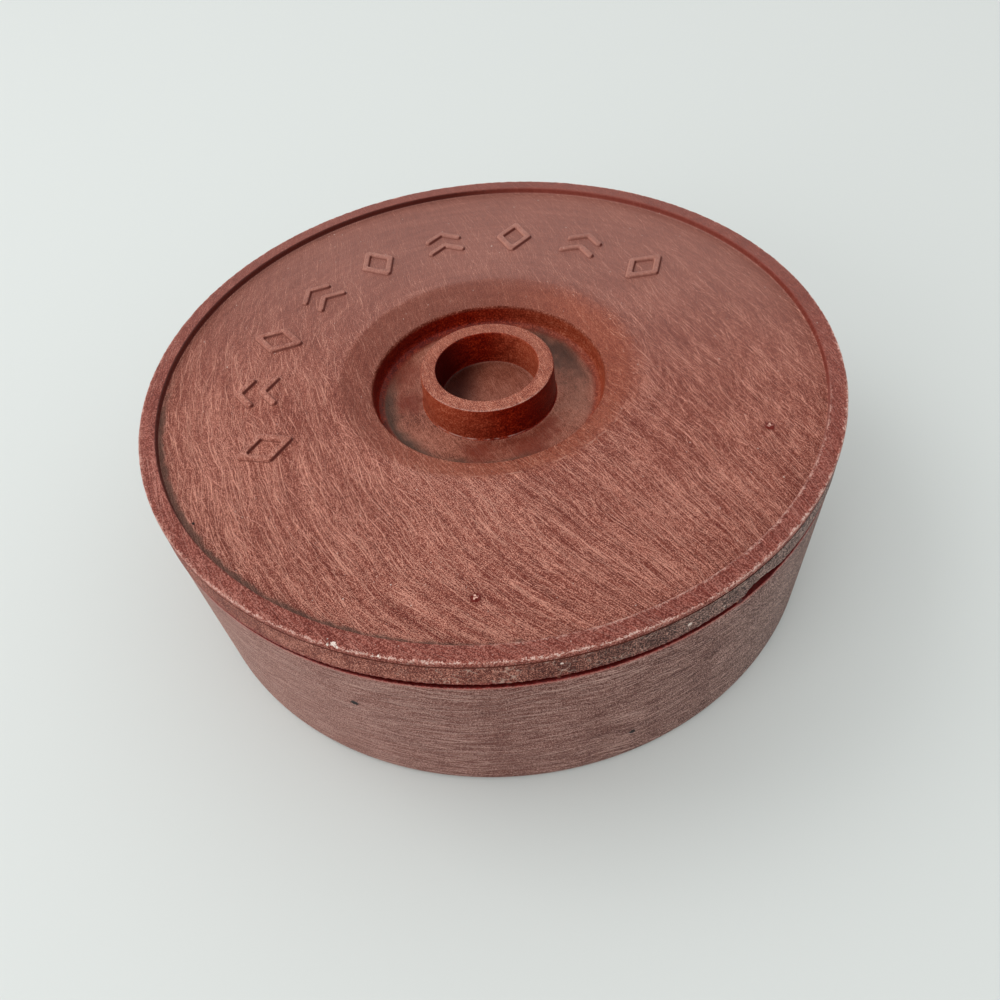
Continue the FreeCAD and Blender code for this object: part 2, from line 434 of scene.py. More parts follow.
def chevrons():
    """Two chevrons that point outwards, one behind the other."""
    half = MOTIF_WIDTH / 2
    depth = STROKE_WIDTH * hypot(half, CHEVRON_RISE) / half
    lowest = -(CHEVRON_SPACING + CHEVRON_RISE + depth) / 2
    return [
        raised([
            (-half, foot, STROKE_END), (0, foot + CHEVRON_RISE, INNER_BEND), (half, foot, STROKE_END),
            (half, foot + depth, STROKE_END), (0, foot + CHEVRON_RISE + depth, OUTER_BEND),
            (-half, foot + depth, STROKE_END),
        ])
        for foot in (lowest, lowest + CHEVRON_SPACING)
    ]


PIP_PLACE = 87.8  # from the axis
PIP_HALF_ANGLE = 34.7  # degrees, each side of -Y
PIP_POINTS = 28
PIP_GRAIN = 1.6  # bumps to a millimetre, of this share of its radius and this height
PIP_BULGE = 0.25
PIP_ROUGHNESS = 0.6
PIP_ROUGH_ABOVE = 0.1
PIP_LIFT_MOST = 0.1
PIP_SECTION = [  # (radius, height) from the middle to the root
    (0.25, 0.48), (0.5, 0.50), (0.8, 0.38), (1.05, 0.22), (1.3, 0.10), (1.5, -ROOT_DEPTH),
]


def pip(seed):
    """A moulding pip that broke off and left a ragged stub."""
    places = [(0, 0, PIP_SECTION[0][1])]
    faces = ring_faces(0, 1, 1, PIP_POINTS)
    for i, (radius, height) in enumerate(PIP_SECTION):
        for k in range(PIP_POINTS):
            x, y = radius * cos(2 * pi * k / PIP_POINTS), radius * sin(2 * pi * k / PIP_POINTS)
            rough = noise.noise(Vector((PIP_GRAIN * x, PIP_GRAIN * y, seed))) if height > 0 else 0
            lift = min(PIP_ROUGHNESS * rough, PIP_LIFT_MOST) if height > PIP_ROUGH_ABOVE else 0
            wider = 1 + PIP_BULGE * rough
            places.append((x * wider, y * wider, height + lift))
        if i:
            first = 1 + i * PIP_POINTS
            faces += ring_faces(first - PIP_POINTS, PIP_POINTS, first, PIP_POINTS)
    faces.append(tuple(reversed(range(len(places) - PIP_POINTS, len(places)))))
    return places, faces


def set_on_panel(shape, radius, degrees):
    """The shape's vertices and faces, moved out along +Y and turned to their place."""
    places, faces = shape
    turn = radians(degrees)
    moved = [
        (x * cos(turn) - (y + radius) * sin(turn), x * sin(turn) + (y + radius) * cos(turn), z + PANEL_TOP)
        for x, y, z in places
    ]
    return moved, faces


def relief_shapes():
    """All raised shapes in their places, with the surface that each has."""
    kinds = (diamond(), chevrons())
    shapes = []
    for i in range(MOTIF_COUNT):
        degrees = MOTIF_PITCH * (i - (MOTIF_COUNT - 1) / 2)
        for shape in kinds[i % len(kinds)]:
            shapes.append((set_on_panel(shape, MOTIF_RADIUS, degrees), "relief"))
    for side in (-1, 1):
        shapes.append((set_on_panel(pip(side), PIP_PLACE, 180 + side * PIP_HALF_ANGLE), "pip"))
    return shapes


def join_relief(lid, materials):
    """Unites the raised shapes with the lid's turned body."""
    places, faces, surfaces = [], [], []
    for (shape_places, shape_faces), surface in relief_shapes():
        faces += [tuple(len(places) + v for v in face) for face in shape_faces]
        places += shape_places
        surfaces += [surface] * len(shape_faces)
    relief = as_object("relief", places, faces, surfaces, materials)
    union = lid.modifiers.new("relief", "BOOLEAN")
    union.operation = "UNION"
    union.solver = "MANIFOLD"
    union.object = relief
    united = bpy.data.meshes.new_from_object(lid.evaluated_get(bpy.context.evaluated_depsgraph_get()))
    lid.modifiers.clear()
    lid.data = united
    bpy.data.objects.remove(relief)


SHARP_ANGLE = radians(38)
FLAT_NORMAL = 0.99999  # least upward part of the normal of a face on the panel's plane
FLAT_REACH = 0.01


def shade(made):
    """Smooth shading up to sharp edges, and flat shading of the panel's plane."""
    for face in made.data.polygons:
        if face.normal.z > FLAT_NORMAL and abs(face.center.z / MM - PANEL_TOP) < FLAT_REACH:
            face.use_smooth = False
    made.data.set_sharp_from_angle(angle=SHARP_ANGLE)


# ---- Materials ----

WORN_SIDE = -130  # azimuth of the side on which the fibres stand out most
PAINTED_SHADE_SIDE = -55  # azimuth away from the light: faces that look to it get painted shade


def compass(degrees):
    """A level direction from its azimuth."""
    return (cos(radians(degrees)), sin(radians(degrees)), 0)


class Material:
    """A Principled material, with short calls that add nodes to it. Places are millimetres."""

    def __init__(self, name, roughness, specular):
        self.data = bpy.data.materials.new(name)
        self.data.use_nodes = True
        self.shader = self.data.node_tree.nodes["Principled BSDF"].inputs
        self.shader["Roughness"].default_value = roughness
        self.shader["Specular IOR Level"].default_value = specular
        self.colour = None
        coordinates = self.node("TexCoord", {}).outputs
        self.normal = coordinates["Normal"]
        self.place = self.vector("SCALE", coordinates["Object"], scale=1 / MM)
        self.x, self.y, self.z = self.node("SeparateXYZ", {0: self.place}).outputs
        self.radius = self.vector("LENGTH", self.join(self.x, self.y, 0))

    def feed(self, socket, value):
        """Links a node's output to the socket, or sets a plain value on it."""
        if isinstance(value, bpy.types.NodeSocket):
            self.data.node_tree.links.new(value, socket)
        else:
            socket.default_value = value

    def node(self, kind, values, **settings):
        """A new node, with values on its inputs by name or number, other than those that are None."""
        node = self.data.node_tree.nodes.new("ShaderNode" + kind)
        for name, setting in settings.items():
            setattr(node, name, setting)
        for key, value in values.items():
            if value is not None:
                self.feed(node.inputs[key], value)
        return node

    def math(self, operation, *values):
        return self.node("Math", dict(enumerate(values)), operation=operation).outputs[0]

    def vector(self, operation, first, second=None, scale=None):
        values = {0: first, 1: second, "Scale": scale}
        single = operation in ("LENGTH", "DISTANCE", "DOT_PRODUCT")
        node = self.node("VectorMath", values, operation=operation)
        return node.outputs["Value" if single else "Vector"]

    def join(self, x, y, z):
        return self.node("CombineXYZ", {0: x, 1: y, 2: z}).outputs[0]

    def towards(self, degrees):
        """Distance from the axis in the direction of an azimuth."""
        return self.vector("DOT_PRODUCT", self.place, compass(degrees))

    def facing(self, degrees):
        """How far the surface looks to an azimuth, -1 to 1."""
        return self.vector("DOT_PRODUCT", self.normal, compass(degrees))

    def scaled(self, value, factor, offset):
        return self.math("MULTIPLY_ADD", value, factor, offset)

    def ratio(self, value, size):
        return self.math("DIVIDE", value, size)

    def side(self, degrees, start, end, low=0, high=1):
        """rise, over the distance from the axis in the direction of an azimuth."""
        return self.rise(self.towards(degrees), start, end, low, high)

    def rise(self, value, start, end, low=0, high=1):
        """low where value is at start, high where it is at end, and soft between."""
        values = dict(enumerate((value, start, end, low, high)))
        return self.node("MapRange", values, interpolation_type="SMOOTHSTEP").outputs[0]

    def noise(self, place, detail=2, roughness=0.5):
        values = {"Vector": place, "Scale": 1, "Detail": detail, "Roughness": roughness}
        return self.node("TexNoise", values).outputs[0]

    def grain(self, size, detail=2, roughness=0.5):
        """Noise with grains of one size, alike in all directions."""
        return self.noise(self.vector("SCALE", self.place, scale=1 / size), detail, roughness)

    def drawn(self, parts, detail, roughness):
        """Noise with grains of another size along each of three (value, size)."""
        return self.noise(self.join(*(self.ratio(*part) for part in parts)), detail, roughness)

    def total(self, *values):
        return reduce(partial(self.math, "ADD"), values)

    def times(self, *values):
        return reduce(partial(self.math, "MULTIPLY"), values)

    def minus(self, value, less):
        return self.math("SUBTRACT", value, less)

    def swing(self, value, amount):
        """Noise about its middle, times amount."""
        return self.times(self.minus(value, 0.5), amount)

    def uneven(self, size, amount, detail=2, roughness=0.5):
        """Grains of one size about their middle, times amount."""
        return self.swing(self.grain(size, detail, roughness), amount)

    def thread(self, value, width):
        """1 along the lines where noise is at its middle, and 0 away from them."""
        return self.rise(self.math("ABSOLUTE", self.minus(value, 0.5)), width, 0)

    def distance(self, degrees, radius, height):
        """Distance from a place that is given by its azimuth, radius and height."""
        x, y, _ = compass(degrees)
        return self.vector("DISTANCE", self.place, (radius * x, radius * y, height))

    def spot(self, degrees, radius, height, size, ragged=0.5):
        """1 within size of a place, with a ragged edge."""
        distance = self.distance(degrees, radius, height)
        distance = self.total(distance, self.uneven(0.6, ragged * 2 * size))
        return self.rise(distance, size, 0.6 * size)

    def mix(self, share, first, second):
        first, second = (
            (*colour, 1) if isinstance(colour, tuple) else colour for colour in (first, second))
        return self.node("Mix", {"Factor": share, 6: first, 7: second}, data_type="RGBA").outputs[2]

    def ramp(self, share, skin):
        """The skin's colours from dark over middle to light as share goes from 0 to 1."""
        node = self.node("ValToRGB", {0: share})
        steps = node.color_ramp.elements
        steps.new(0.5)
        for step, colour in zip(steps, skin):
            step.color = (*colour, 1)
        return node.outputs[0]

    def paint(self, share, tint, most=1):
        """Lays a tint over the material's colour, where share is 1 and at the strength most."""
        self.colour = self.mix(share if most == 1 else self.times(share, most), self.colour, tint)

    def finish(self, height, depth):
        """Joins up the colour and a bump of the given depth in millimetres."""
        self.feed(self.shader["Base Color"], self.colour)
        bump = self.node("Bump", {"Height": height, "Distance": depth * MM})
        self.feed(self.shader["Normal"], bump.outputs[0])
        return self.data


# Colours of the skin from dark over middle to light, where fibres lie at the surface.
PANEL_SKIN = ((0.1, 0.006, 0.001), (0.265, 0.067, 0.0405), (0.69, 0.305, 0.224))
FLARE_SKIN = ((0.12, 0.008, 0.002), (0.31, 0.077, 0.039), (0.68, 0.28, 0.19))
# Painted shade: a darker, greyer copy of the flare's skin for its far side, which faces away from the
# light
FLARE_SHADE_SKIN = ((0.1, 0.016, 0.007), (0.238, 0.068, 0.043), (0.5, 0.22, 0.155))
FLOOR_SKIN = ((0.09, 0.016, 0.008), (0.29, 0.09, 0.055), (0.52, 0.21, 0.145))
# Lit and shaded copies of the steep faces' skin: painted light and painted shade, by the way a face looks
STEEP_LIT_SKIN = ((0.19, 0.024, 0.008), (0.315, 0.054, 0.023), (0.48, 0.145, 0.08))
STEEP_SHADED_SKIN = ((0.06, 0.0012, 0.0003), (0.145, 0.005, 0.0008), (0.31, 0.028, 0.008))
RIM_SKIN = ((0.11, 0.009, 0.003), (0.234, 0.045, 0.027), (0.5, 0.19, 0.145))
RELIEF_SKIN = ((0.1, 0.011, 0.004), (0.295, 0.083, 0.052), (0.6, 0.27, 0.2))
SKIRT_SKIN = ((0.02, 0.0015, 0.0008), (0.088, 0.0175, 0.0095), (0.42, 0.175, 0.122))
WALL_SKIN = ((0.045, 0.007, 0.004), (0.163, 0.064, 0.048), (0.5, 0.315, 0.265))
GREY_SKIN = ((0.012, 0.004, 0.003), (0.155, 0.086, 0.069), (0.62, 0.44, 0.38))
# Painted shade: a very dark red for the gap under the skirt, on the shoulder and the wall's lip
DEEP_SHADE_SKIN = ((0.015, 0.0008, 0.0007), (0.062, 0.0025, 0.0018), (0.155, 0.01, 0.007))
INSIDE_SKIN = ((0.11, 0.018, 0.009), (0.26, 0.075, 0.048), (0.5, 0.25, 0.19))
# Painted shade: a near black skin for the groove under the band
GROOVE_SHADE_SKIN = ((0.02, 0.003, 0.002), (0.06, 0.012, 0.008), (0.15, 0.045, 0.033))

# Colours of wear and dirt, and of painted shade, shadow and sheen
GREY_SHEEN = (0.31, 0.175, 0.145)  # painted sheen: the grey that the far side takes on
# pale scuffs on worn edges, and the painted highlight along the ring's foot
SCUFF_AND_SHEEN = (0.74, 0.52, 0.45)
RUBBED = (0.6, 0.24, 0.18)  # edges that hands have rubbed
CHIPPED = (0.82, 0.68, 0.6)
PIT = (0.004, 0.001, 0.001)
# grime with painted shade, along the rim's root and the recess's wall on the -X side
GRIME_AND_SHADE = (0.075, 0.042, 0.028)
# dust with the ring's painted shadow, on the recess's floor beside the ring
DUST_AND_SHADOW = (0.15, 0.088, 0.062)
DARK_DUST_AND_SHADOW = (0.06, 0.027, 0.018)
STAIN = (0.13, 0.014, 0.008)  # round the pips
CURL = (0.6, 0.42, 0.34)  # curled scratches in the skirt
PANEL_LINE = (0.66, 0.33, 0.25)  # where the flare starts
RIM_WORN_HIGHLIGHT = (0.7, 0.4, 0.33)  # the rim's inner edge: worn pale, with a painted highlight on the side that faces the light
# the groove paler towards -X
GROOVE_PALER = (0.22, 0.07, 0.05)

# Colours of single faces and places
# The relief's painted shade at its foot, painted light on the sides that face the light, painted shade on
# the others
RELIEF_FOOT_SHADE, RELIEF_LIT, RELIEF_SHADE = (0.13, 0.022, 0.011), (0.52, 0.24, 0.18), (0.1, 0.014, 0.007)
# A pip's foot in painted shade, and its pale broken top with a painted highlight
PIP_FOOT_SHADE, PIP_TIP_AND_HIGHLIGHT = (0.14, 0.012, 0.007), (0.72, 0.42, 0.34)
DEEPEST_SHADE = (0.05, 0.0005, 0.0002)  # painted shade, darkest, on steep faces that look straight away from the light
RED_PATCH = (0.175, 0.024, 0.01)
# The bore's floor tint, the ring's painted shadow on that floor, and painted shade on the bore's wall
BORE_FLOOR, BORE_SHADOW, BORE_SHADE = (0.17, 0.032, 0.012), (0.05, 0.008, 0.004), (0.035, 0.0005, 0.0002)
# Painted shade on the rim's inner faces: away from the light, and on the right
RIM_SHADE, RIM_RIGHT_SHADE = (0.07, 0.007, 0.003), (0.19, 0.026, 0.015)
# painted shade on the skirt's lower edge, over the joint's gap
SKIRT_LIP_SHADE = (0.2, 0.012, 0.008)
NUB = (0.36, 0.18, 0.12)
# Painted light: the wall's left side is paler
WALL_SHADE, WALL_LIT_LEFT, WALL_RED = (0.13, 0.055, 0.04), (0.44, 0.21, 0.17), (0.24, 0.068, 0.048)
# The wall's top edge: rubbed pale with a painted highlight, then painted shade under the skirt
LIP_RUBBED_AND_LIT, LIP_SHADE = (0.44, 0.15, 0.12), (0.24, 0.012, 0.008)


HAIRS = (  # (tilt from the flow, width, length, noise level that they lie above)
    (0, 0.36, 17, 0.62), (0.07, 0.36, 14, 0.63), (-0.09, 0.36, 14, 0.64),
    (0.22, 0.38, 11, 0.65), (-0.2, 0.38, 11, 0.66), (0.5, 0.4, 9, 0.67), (-0.45, 0.4, 9, 0.68),
)


def flow(m):
    """Places across and along the melt's flow, which fans out and closes in again towards -Y."""
    share = m.ratio(m.y, RIM_RADIUS)
    square = m.times(share, share)
    bow = m.scaled(m.times(square, square), 0.42, 1)
    wobble = m.uneven(34, 6)
    lean = m.total(m.times(share, -20), m.times(square, -18))
    across = m.total(m.times(m.x, bow), lean, wobble)
    return across, m.y


ROW_SHIFT = 0.37  # shear, in lengths of a streak for each of its widths
HAIR_EDGE = 0.14  # rise of the noise from beside a fibre to its full brightness


def streaks(m, across, along, width, length, layer, detail=2, roughness=0.55):
    """Noise drawn out along the flow, sheared so that its streaks don't end in rows. Layers differ."""
    shift = m.scaled(across, ROW_SHIFT / width, m.ratio(along, length))
    place = m.join(m.ratio(across, width), shift, float(layer))
    return m.noise(place, detail, roughness)


def hairs(m, across, along, width, length, level, layer):
    """Single fibres: thin pale lines along the flow."""
    return m.rise(streaks(m, across, along, width, length, layer, 0), level, level + HAIR_EDGE)


def upper_texture(m, fibres=1, speckle=1, mottle=1):
    """Texture of the surfaces that look up, about 0, and its height. Both fade away from WORN_SIDE."""
    across, along = flow(m)
    fibre = m.total(*(
        hairs(m, m.scaled(along, tilt, across), along, width, length, level, layer)
        for layer, (tilt, width, length, level) in enumerate(HAIRS)
    ))
    brushed = streaks(m, across, along, 0.35, 26, 10, 1)
    bands = streaks(m, across, along, 3.5, 45, 11)
    dots = m.grain(0.33, 2, 0.65)
    left = m.side(-170, 0, 70)
    worn = m.side(WORN_SIDE, 0, 80, 0.3, 1)
    crossed = streaks(m, m.scaled(along, -0.5, across), along, 0.42, 8, 12, 1)
    fine = m.total(
        m.times(fibre, 0.42 * fibres),
        m.times(m.swing(brushed, fibres), worn, m.scaled(left, -0.5, 1.2)),
        m.times(m.swing(crossed, 0.9 * fibres), m.minus(1.1, worn)),
        m.times(m.swing(bands, 0.7 * fibres), m.scaled(worn, 0.6, 0.4)),
        m.swing(dots, 3.3 * speckle),
        m.uneven(1.6, 0.75 * mottle, 2, 0.6),
    )
    strength = m.side(WORN_SIDE, -90, 85, 0.38, 1.25)
    arcs = m.drawn(((m.radius, 1.8), (m.x, 20), (m.y, 20)), 3, 0.6)
    arcs = m.times(m.swing(arcs, 0.55 * mottle), m.minus(1.15, worn))
    return (
        m.total(m.times(fine, strength), arcs, m.uneven(24, 0.35, 3, 0.6)),
        m.times(m.total(fibre, m.times(brushed, 1.5), m.times(dots, 1.5)), strength),
    )


def far_sheen_and_flecks(m, most=0.36):
    """Paints a grey sheen on the far side, away from WORN_SIDE, and adds a few pale flecks."""
    # painted sheen: greyer on the far side
    m.paint(m.side(WORN_SIDE, 30, -70), GREY_SHEEN, most)
    m.paint(m.rise(m.grain(1.1, 1), 0.775, 0.81), CHIPPED, 0.6)


def panel_material():
    """The flat panel and the flare that leads down from it, with painted shade on the flare's far side and
    at the rim's root.
    """
    m = Material("panel", 0.5, 0.22)
    texture, height = upper_texture(m)
    fade = m.side(150, -20, 30, 4.5, 1)
    inwards = m.ratio(m.minus(DISH_RADIUS - 0.3, m.radius), fade)
    down = m.rise(m.total(inwards, m.uneven(5, 1.2, 3)), -1, 1)
    share = m.total(
        m.side(-155, -20, 80, 0.34, 0.4),
        m.times(texture, m.scaled(down, -0.4, 1)),
    )
    # painted shade: the flare's far side is darker, as it faces away from the light
    far = m.side(108, -15, 35)
    flare = m.mix(far, m.ramp(share, FLARE_SKIN), m.ramp(share, FLARE_SHADE_SKIN))
    flare = m.mix(m.side(165, 15, 45, 0, 0.6), flare, m.ramp(share, PANEL_SKIN))
    m.colour = m.mix(down, m.ramp(share, PANEL_SKIN), flare)
    line = m.total(m.radius, m.uneven(7, 2), -DISH_RADIUS + 0.8)
    line = m.times(m.rise(m.math("ABSOLUTE", line), 0.4, 0.1), m.side(-100, 30, 44))
    m.paint(m.times(line, m.rise(m.grain(4), 0.4, 0.65)), PANEL_LINE, 0.6)
    far_sheen_and_flecks(m, m.scaled(down, -0.3, 0.36))
    # grime with painted shade along the rim's root on the -X side
    root = m.rise(m.radius, RIM_INNER_RADIUS - 3.5, RIM_INNER_RADIUS - 0.5)
    reach = m.side(-165, 54, 88)
    rim_grime_and_shade = m.rise(m.total(m.times(root, reach), m.uneven(4, 1.3, 3)), 0.25, 0.9)
    m.paint(rim_grime_and_shade, GRIME_AND_SHADE, 0.7)
    for side in (-1, 1):
        stain = m.spot(-90 + side * PIP_HALF_ANGLE, PIP_PLACE, PANEL_TOP, 2.4, 0.4)
        m.paint(stain, STAIN, 0.5)
    m.paint(m.spot(-177.6, 100, PANEL_TOP, 0.6), PIT)
    return m.finish(height, 0.12)


def relief_material():
    """Raised strokes, rubbed paler on top, with painted shade at their foot and on the sides away from the
    light, and painted light on the sides that face it.
    """
    m = Material("relief", 0.45, 0.25)
    texture, height = upper_texture(m, 0.4, 0.7)
    m.colour = m.ramp(m.total(0.52, texture), RELIEF_SKIN)
    far_sheen_and_flecks(m)
    # painted shade at the foot of the strokes, all round
    m.paint(m.rise(m.z, PANEL_TOP + 0.45, PANEL_TOP + 0.05, 0, 0.7), RELIEF_FOOT_SHADE)
    # painted light on the sides that face the light, and painted shade on those that face away
    m.paint(m.rise(m.facing(PAINTED_SHADE_SIDE), -0.15, -0.7, 0, 0.5), RELIEF_LIT)
    m.paint(m.rise(m.facing(PAINTED_SHADE_SIDE), 0.2, 0.8), RELIEF_SHADE)
    return m.finish(height, 0.08)


def pip_material():
    """A pip with a foot in painted shade and a pale, broken top with a painted highlight."""
    m = Material("pip", 0.5, 0.15)
    share = m.rise(m.total(m.z, m.uneven(0.7, 0.9)), PANEL_TOP + 0.4, PANEL_TOP + 0.62)
    # painted shade at the foot, and a pale top with a painted highlight
    m.colour = m.mix(share, PIP_FOOT_SHADE, PIP_TIP_AND_HIGHLIGHT)
    return m.finish(m.grain(0.4), 0.1)


def steep_share(m):
    """Share along the skins of the steep faces: clouds with a fine grain."""
    clouds = m.drawn(((m.x, 3), (m.y, 3), (m.z, 1.2)), 3, 0.7)
    return m.total(0.45, m.swing(clouds, 1.3), m.uneven(0.5, 2.2))


def steep_colour(m):
    """Deep red, with painted shade that is darkest where the face looks away from the light."""
    share = steep_share(m)
    beyond = m.total(m.rise(m.radius, 18, 20, 0.35, 0.1), m.rise(m.radius, 25, 30, 0, 0.15))
    painted_shade = m.rise(m.total(m.facing(PAINTED_SHADE_SIDE), beyond, m.uneven(5, 0.3)), -0.3, 0.85)
    colour = m.mix(painted_shade, m.ramp(share, STEEP_LIT_SKIN), m.ramp(share, STEEP_SHADED_SKIN))
    return m.mix(m.rise(m.facing(PAINTED_SHADE_SIDE), 0.6, 1, 0, 0.6), colour, DEEPEST_SHADE)


RED_PATCHES = (  # (azimuth, radius, size) on the recess's floor
    (-130, 26, 6), (-98, 28, 9), (-75, 24, 5), (125, 33, 8), (152, 26, 5),
)
DUST_AND_SHADOW_PATCHES = ((-15, 14, 0.35, DUST_AND_SHADOW), (35, 11, 0.9, DARK_DUST_AND_SHADOW))  # (azimuth, start, strength, colour)


def recess_floor_material():
    """The dish's floor, with grime and painted shade at the wall, dust and the ring's painted shadow
    beside the ring, and deeper red patches.
    """
    m = Material("recess_floor", 0.45, 0.2)
    texture, height = upper_texture(m, 0.7, 0.8)
    m.colour = m.ramp(m.total(0.53, texture, m.uneven(9, 0.9, 3, 0.6)), FLOOR_SKIN)
    for degrees, radius, size in RED_PATCHES:
        distance = m.total(m.distance(degrees, radius, RECESS_FLOOR), m.uneven(3, 8, 3))
        patch = m.rise(distance, 1.5 * size, 0.2 * size)
        m.paint(patch, RED_PATCH, 0.8)
    # the floor by the wall takes the steep faces' colour, with its painted shade
    m.paint(m.rise(m.radius, RECESS_RADIUS - 4.5, RECESS_RADIUS - 2.5), steep_colour(m))
    ragged = m.total(m.radius, m.uneven(6, 6, 3))
    edge = m.rise(ragged, RECESS_RADIUS - 8.5, RECESS_RADIUS - 3.5)
    edge = m.times(edge, m.rise(m.radius, RECESS_RADIUS - 2.6, RECESS_RADIUS - 3.6, 0.3, 1))
    # grime with painted shade along the wall on the -X side
    m.paint(m.times(edge, m.side(-160, 4, 24)), GRIME_AND_SHADE, 0.9)
    beside = m.times(
        m.rise(ragged, RING_RADIUS, RING_RADIUS + 3),
        m.rise(ragged, RECESS_RADIUS - 2, RECESS_RADIUS - 7),
    )
    # dust with the ring's painted shadow, between the ring and the wall
    for degrees, start, most, dust_and_shadow_colour in DUST_AND_SHADOW_PATCHES:
        place = m.total(m.towards(degrees), m.uneven(6, 20, 3, 0.65))
        m.paint(m.times(beside, m.rise(place, start, start + 14)), dust_and_shadow_colour, most)
    # painted shadow of the ring on the bore's floor, on the side towards the light
    corner = m.side(140, 0, 11)
    bore = m.rise(m.radius, RING_RADIUS, RING_RADIUS - 3)
    m.paint(bore, BORE_FLOOR, 0.35)
    m.paint(m.times(corner, bore), BORE_SHADOW)
    return m.finish(height, 0.08)


def recess_material():
    """Steep faces of the recess and the ring: smooth, with painted shade, a top that blends into the
    flare, and a painted highlight at the ring's foot.
    """
    m = Material("recess", 0.36, 0.1)
    share = steep_share(m)
    m.colour = steep_colour(m)
    # painted shade on the bore's wall where it faces away from the light
    bore = m.times(
        m.rise(m.radius, RING_RADIUS - 2, RING_RADIUS - 3.5), m.rise(m.facing(-30), 0.35, 0.95))
    m.paint(bore, BORE_SHADE)
    # the top of the wall blends into the flare's painted shade
    top = m.rise(m.z, PANEL_TOP - FLARE_DROP - 1.5, PANEL_TOP - FLARE_DROP + 0.4)
    wall = m.rise(m.radius, RECESS_RADIUS - 3, RECESS_RADIUS - 1)
    m.paint(m.times(top, wall), m.ramp(share, FLARE_SHADE_SKIN))
    # painted highlight: a pale sheen arc along the ring's foot
    foot = m.thread(m.scaled(m.z, 0.25, 0.5 - 0.25 * (RECESS_FLOOR + 0.55)), 0.09)
    sheen_arc = m.times(foot, m.side(-135, 14, 21), m.rise(m.radius, 25, 22.5))
    m.paint(m.times(sheen_arc, m.rise(m.grain(3), 0.4, 0.6)), SCUFF_AND_SHEEN, 0.5)
    return m.finish(share, 0.06)


def ring_top_material():
    """Top of the ring, rubbed at its near outer edge."""
    m = Material("ring_top", 0.5, 0.25)
    texture, height = upper_texture(m, 0.5, 1)
    m.colour = m.ramp(m.total(0.4, texture), FLARE_SKIN)
    edge = m.rise(m.total(m.radius, m.uneven(0.8, 1.2)), RING_RADIUS - 0.7, RING_RADIUS)
    m.paint(m.times(edge, m.side(-120, 6, 18)), SCUFF_AND_SHEEN, 0.25)
    return m.finish(height, 0.1)


CHIPS = (  # (azimuth, inset, size) of pale marks on the rim's outer edge
    (CHIP_ANGLE, 0.9, 0.8), (-143.8, 0.4, 0.5), (-142.5, 0.3, 0.5), (-137.5, 0.4, 0.4), (-136.7, 0.4, 0.4),
)


def chipped(m):
    """Paints the chips."""
    for degrees, inset, size in CHIPS:
        m.paint(m.spot(degrees, RIM_RADIUS - inset, TOP - 0.3, size, 1.3), CHIPPED)


def rim_material():
    """The rim: a fine red speckle with worn edges, a painted highlight on its inner edge, and painted
    shade on inner faces.
    """
    m = Material("rim", 0.5, 0.25)
    texture, height = upper_texture(m, 0.8, 0.95, 0.2)
    base = m.total(
        m.side(-160, 20, 100, 0.36, 0.41),
        m.side(20, 0, 90, 0, -0.06),
    )
    share = m.total(base, texture, m.uneven(5, 0.5, 3, 0.6))
    m.colour = m.ramp(share, RIM_SKIN)
    far_sheen_and_flecks(m, 0.16)
    ragged = m.total(m.radius, m.uneven(0.4, 3.5, 2, 0.7), m.uneven(3, 2, 2))
    # worn inner edge with a painted highlight, only on the side that faces the light
    inner = m.times(
        m.rise(ragged, RIM_INNER_RADIUS + 0.6, RIM_INNER_RADIUS + 0.3),
        m.side(-85, 70, 90),
        m.rise(m.grain(1.4), 0.3, 0.55, 0.25, 1),
    )
    m.paint(m.rise(ragged, RIM_RADIUS - 0.6, RIM_RADIUS - 0.2), RUBBED, 0.6)
    m.paint(inner, RIM_WORN_HIGHLIGHT, 0.75)
    scuffed = m.side(-60, -40, 60, 0.45, 0.85)
    m.paint(m.times(m.rise(ragged, RIM_RADIUS - 0.35, RIM_RADIUS), scuffed), SCUFF_AND_SHEEN)
    # painted shade on the inner faces that look away from the light, and on the right side
    steep = m.times(
        m.rise(m.facing(PAINTED_SHADE_SIDE), 0.1, 0.5),
        m.rise(m.radius, RIM_INNER_RADIUS + 0.7, RIM_INNER_RADIUS + 0.4),
    )
    m.paint(steep, RIM_SHADE)
    right = m.times(
        m.rise(m.facing(170), 0.2, 0.6),
        m.rise(m.radius, RIM_INNER_RADIUS + 0.45, RIM_INNER_RADIUS + 0.15),
    )
    m.paint(right, RIM_RIGHT_SHADE, 0.6)
    chipped(m)
    return m.finish(height, 0.12)


SKIRT_MARKS = (  # (azimuth, distance below the top, size)
    (-95.4, 6.75, 0.8), (-113.4, 4.5, 0.5), (-89.6, 8, 0.4),
)


